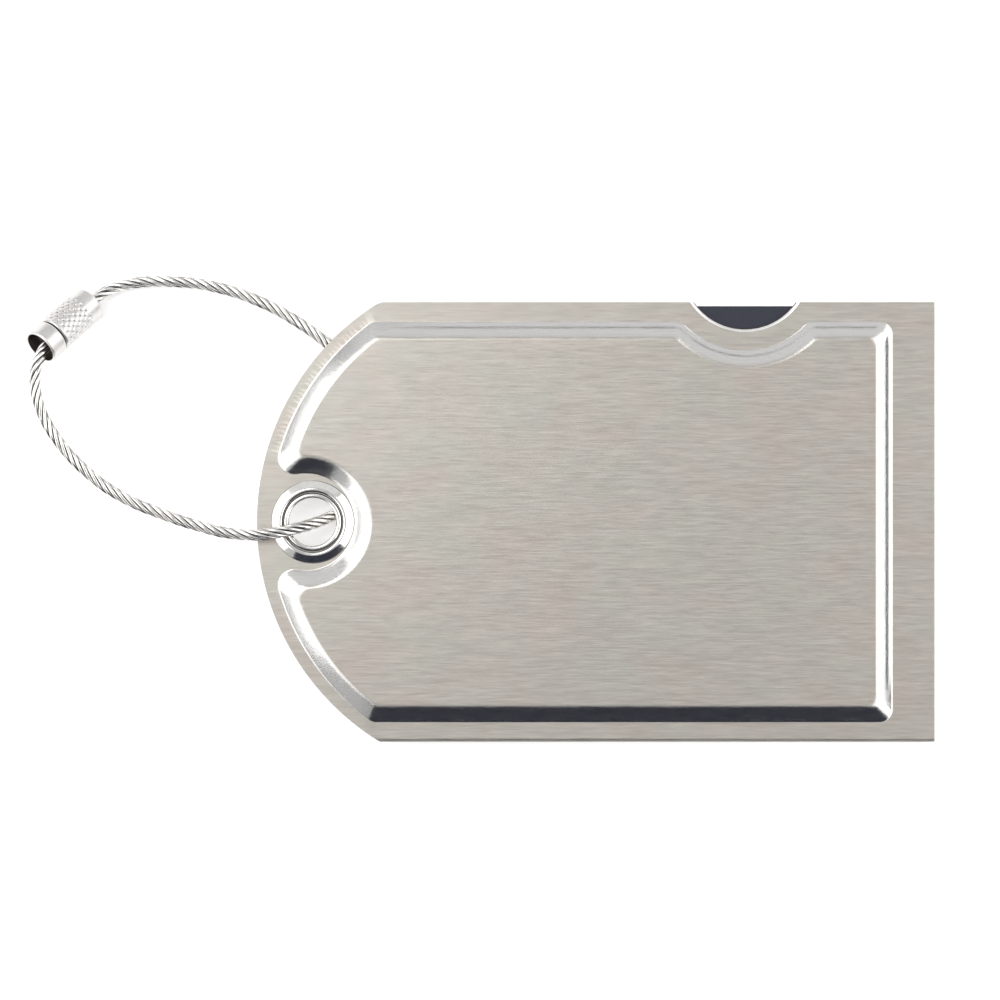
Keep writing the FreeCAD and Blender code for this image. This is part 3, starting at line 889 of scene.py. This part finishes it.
build_screw()
build_sleeve()
build_ferrule("crimp_in_screw", "ferrule_screw_end", "loop",
              start=STUD_END - 1.25, end=STUD_END + 0.75, radius=1.45)
build_ferrule("crimp_in_sleeve", "ferrule_sleeve_end", "swivel",
              start=CLASP_LENGTH - 3.85, end=CLASP_LENGTH - 1.25, radius=1.8)


# ---- cable -------------------------------------------------------------------
def route_curve():
    curve = bpy.data.curves.new("cable_route", "CURVE")
    curve.dimensions = "3D"
    curve.resolution_u = 24
    spline = curve.splines.new("NURBS")
    spline.points.add(len(CABLE_ROUTE) - 1)
    for point, place_at in zip(spline.points, CABLE_ROUTE):
        point.co = (*[c * MM for c in place_at], 1.0)
    spline.order_u = 3
    spline.use_endpoint_u = True
    return curve


POINT_SPACING = 0.42 * MM


def read_centreline():
    """Points along the route, evenly spaced, read from its NURBS spline."""
    curve = route_curve()
    holder = bpy.data.objects.new("cable_route", curve)
    line = bpy.data.meshes.new_from_object(holder)
    raw = np.array([v.co[:] for v in line.vertices])
    bpy.data.objects.remove(holder)
    bpy.data.meshes.remove(line)
    bpy.data.curves.remove(curve)
    steps = np.linalg.norm(np.diff(raw, axis=0), axis=1)
    travelled = np.concatenate([[0], np.cumsum(steps)])
    count = int(travelled[-1] / POINT_SPACING)
    even = np.linspace(0, travelled[-1], count + 1)
    return np.stack([np.interp(even, travelled, raw[:, k]) for k in range(3)], 1), travelled[-1]


def unit(vectors):
    return vectors / np.linalg.norm(vectors, axis=1)[:, None]


def carried_frames(points):
    """Side and up at each point, carried along without twist."""
    tangents = unit(np.gradient(points, axis=0))
    side = np.cross(tangents[0], (0.0, 0.0, 1.0))
    side /= np.linalg.norm(side)
    sides = []
    for t in tangents:
        side = side - t * (side @ t)
        side /= np.linalg.norm(side)
        sides.append(side)
    sides = np.array(sides)
    return sides, np.cross(tangents, sides)


def build_cable():
    points, length = read_centreline()
    sides, ups = carried_frames(points)
    travelled = np.linspace(0, length, len(points))
    strands = 6
    strand_r = CABLE_D * MM / 6     # three strands lie across the cable
    lay = 10.5 * MM
    wire_pitch = 1.1 * MM
    rim = 14
    bm = bmesh.new()
    layer = bm.loops.layers.uv.new("along")
    shade_layer = bm.verts.layers.float.new("painted_shade")

    def tube(centres, across, upward, outer):
        rows = []
        for c, s, u in zip(centres, across, upward):
            row = []
            for k in range(rim):
                a = 2 * math.pi * k / rim
                vert = bm.verts.new(c + strand_r * (s * math.cos(a) + u * math.sin(a)))
                # painted shade: the core dark all over, each outer strand darker on its side
                # towards the core
                vert[shade_layer] = min(1.0, max(0.0, 1.15 - 1.6 * math.cos(a))) if outer else 1.0
                row.append(vert)
            rows.append(row)
        for i, (a, b) in enumerate(zip(rows, rows[1:])):
            for k in range(rim):
                j = (k + 1) % rim
                face = bm.faces.new((a[k], a[j], b[j], b[k]))
                where = [(i, k), (i, k + 1), (i + 1, k + 1), (i + 1, k)]
                for loop, (m, n) in zip(face.loops, where):
                    loop[layer].uv = (travelled[m] / wire_pitch, n / rim)
        bm.faces.new(rows[0][::-1])
        bm.faces.new(rows[-1])

    tube(points, sides, ups, False)
    for strand in range(strands):
        angle = 2 * math.pi * strand / strands + 2 * math.pi * travelled / lay
        out = sides * np.cos(angle)[:, None] + ups * np.sin(angle)[:, None]
        centres = points + out * (2 * strand_r)
        own_tangents = unit(np.gradient(centres, axis=0))
        own_sides = unit(out - own_tangents * np.sum(out * own_tangents, 1)[:, None])
        tube(centres, own_sides, np.cross(own_tangents, own_sides), True)
    for face in bm.faces:
        face.smooth = True
    for edge in bm.edges:
        if edge.calc_face_angle(0) > math.radians(60):
            edge.smooth = False
    mesh = bpy.data.meshes.new("wire_rope_strands")
    bm.to_mesh(mesh)
    bm.free()
    mesh.materials.append(STRAND_METAL)
    rope = bpy.data.objects.new("wire_rope_strands", mesh)
    bpy.context.scene.collection.objects.link(rope)
    settle(rope, "loop", "wire_rope")
    [tuple(p) for p in points]


build_cable()


# ---- card and its label ------------------------------------------------------
def rounded_slab(name, low, high, corner, edge, material):
    """Thin card with round corners and a slightly eased edge."""
    outline = rounded([(low[0], low[1], corner), (high[0], low[1], corner),
                       (high[0], high[1], corner), (low[0], high[1], corner)], 8)
    bm = bmesh.new()
    middle = Vector(((low[0] + high[0]) / 2, (low[1] + high[1]) / 2))
    levels = [(low[2], edge), (low[2] + edge, 0.0), (high[2] - edge, 0.0), (high[2], edge)]
    rows = []
    for z, inset in levels:
        half = ((high[0] - low[0]) / 2, (high[1] - low[1]) / 2)
        rows.append([bm.verts.new((
            middle.x + (x - middle.x) * (1 - inset / half[0]),
            middle.y + (y - middle.y) * (1 - inset / half[1]), z)) for x, y in outline])
    bridge(bm, rows)
    bm.faces.new(rows[0][::-1])
    bm.faces.new(rows[-1])
    return make_piece(name, bm, material)


CARD_LOW = (EYE_X + 9.1, 0.55 - TOP, REAR_Z + 0.45)
CARD_HIGH = (CASE_LENGTH / 2 - 1.2, TOP - 0.6, REAR_Z + 0.85)
card = rounded_slab("slate_insert_card", CARD_LOW, CARD_HIGH,
                    corner=3.0, edge=0.06, material=CARD_MATERIAL)
settle(card, "insert", "insert_card")

LABEL_X = (CARD_LOW[0] + CARD_HIGH[0]) / 2
LABEL_Y = -6.0
LABEL_SIZE = (72.0, 40.0)
LABEL_LOW = (LABEL_X - LABEL_SIZE[0] / 2, LABEL_Y - LABEL_SIZE[1] / 2, CARD_HIGH[2])
LABEL_HIGH = (LABEL_X + LABEL_SIZE[0] / 2, LABEL_Y + LABEL_SIZE[1] / 2, CARD_HIGH[2] + 0.08)
label = rounded_slab("paper_label", LABEL_LOW, LABEL_HIGH,
                     corner=1.5, edge=0.02, material=PAPER_MATERIAL)
settle(label, "insert", "address_label")


def build_rules():
    """Plain writing lines printed on the label."""
    margin = 4.0
    first_line = 8.0
    line_spacing = 6.4
    line_width = 0.25
    line_count = 5
    last_line_short_by = 30.0
    bm = bmesh.new()
    ink_low = LABEL_HIGH[2] + 0.001
    ink_high = LABEL_HIGH[2] + 0.012
    left = LABEL_LOW[0] + margin
    for row in range(line_count):
        y = LABEL_HIGH[1] - first_line - row * line_spacing
        last = row == line_count - 1
        right = LABEL_HIGH[0] - (last_line_short_by if last else margin)
        corners = bmesh.ops.create_cube(bm, size=1.0)["verts"]
        bmesh.ops.scale(bm, vec=(right - left, line_width, ink_high - ink_low), verts=corners)
        bmesh.ops.translate(bm, vec=((left + right) / 2, y, (ink_low + ink_high) / 2),
                            verts=corners)
    piece = make_piece("label_rules", bm, INK_MATERIAL)
    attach(piece, "insert")


build_rules()


# ---- stage, light and camera -------------------------------------------------
def stage_plane(name, corners, material):
    mesh = bpy.data.meshes.new(name)
    mesh.from_pydata(corners, [], [tuple(range(len(corners)))])
    mesh.materials.append(material)
    obj = bpy.data.objects.new(name, mesh)
    bpy.context.scene.collection.objects.link(obj)
    return obj


def floor_material():
    mat, shader = new_material("studio_floor", 0.0, 0.9)
    shader.inputs["Base Color"].default_value = (0.9, 0.9, 0.9, 1)
    shader.inputs["Emission Color"].default_value = (1.0, 1.0, 1.0, 1)
    shader.inputs["Emission Strength"].default_value = 0.36
    return mat


REACH = 1500.0
floor_corners = [(x * MM, y * MM, (table_z(x) - 0.02) * MM)
                 for x, y in ((-REACH, -REACH), (REACH, -REACH), (REACH, REACH), (-REACH, REACH))]
stage_plane("studio_floor", floor_corners, floor_material())


def soft_light(name, place_at, aim, size, power):
    data = bpy.data.lights.new(name, "AREA")
    data.shape = "RECTANGLE"
    data.size, data.size_y = size
    data.energy = power
    lamp = bpy.data.objects.new(name, data)
    lamp.location = place_at
    lamp.rotation_euler = (Vector(aim) - Vector(place_at)).to_track_quat("-Z", "Y").to_euler()
    lamp.visible_camera = False
    bpy.context.scene.collection.objects.link(lamp)


soft_light("left_box", (-0.55, 0.02, 0.42), (0, 0, 0), (1.0, 0.55), 2.6)
soft_light("right_box", (0.55, 0.02, 0.42), (0, 0, 0), (1.0, 0.65), 3.05)
soft_light("key", (-0.30, 0.26, 0.75), (0, 0, 0), (0.4, 0.4), 1.6)
soft_light("back_box", (0, 0.62, 0.25), (0, 0, 0), (1.2, 0.5), 0.45)

dark, dark_shader = new_material("dark_card", 0.0, 0.9)
dark_shader.inputs["Base Color"].default_value = (0.011, 0.013, 0.024, 1)
CARD_FOOT = -0.02
# the two ends of each card's foot, and its top
DARK_CARDS = {
    "dark_card": ((-0.30, -0.40), (0.42, -0.40), 0.50),
    "low_card_right": ((0.9, -0.7), (0.9, 0.7), 0.14),
    "low_card_back": ((-0.7, 0.9), (0.7, 0.9), 0.14),
}
for name, (start, end, top) in DARK_CARDS.items():
    corners = [(*start, CARD_FOOT), (*end, CARD_FOOT), (*end, top), (*start, top)]
    stage_plane(name, corners, dark).visible_camera = False

world = bpy.data.worlds.new("studio")
world.use_nodes = True
world.node_tree.nodes["Background"].inputs["Color"].default_value = (1, 1, 1, 1)
world.node_tree.nodes["Background"].inputs["Strength"].default_value = 0.58
bpy.context.scene.world = world
bpy.context.scene.view_settings.view_transform = "Standard"

camera_data = bpy.data.cameras.new("main")
camera_data.lens = 120.0
camera_data.sensor_width = 36.0
FRAME_WIDTH = 159.2
LOOK_AT = (-15.3, 3.5)
distance = FRAME_WIDTH / camera_data.sensor_width * camera_data.lens
camera = bpy.data.objects.new("main", camera_data)
camera.location = (LOOK_AT[0] * MM, LOOK_AT[1] * MM, distance * MM)
camera_data.clip_start = 0.01
bpy.context.scene.collection.objects.link(camera)
bpy.context.scene.camera = camera
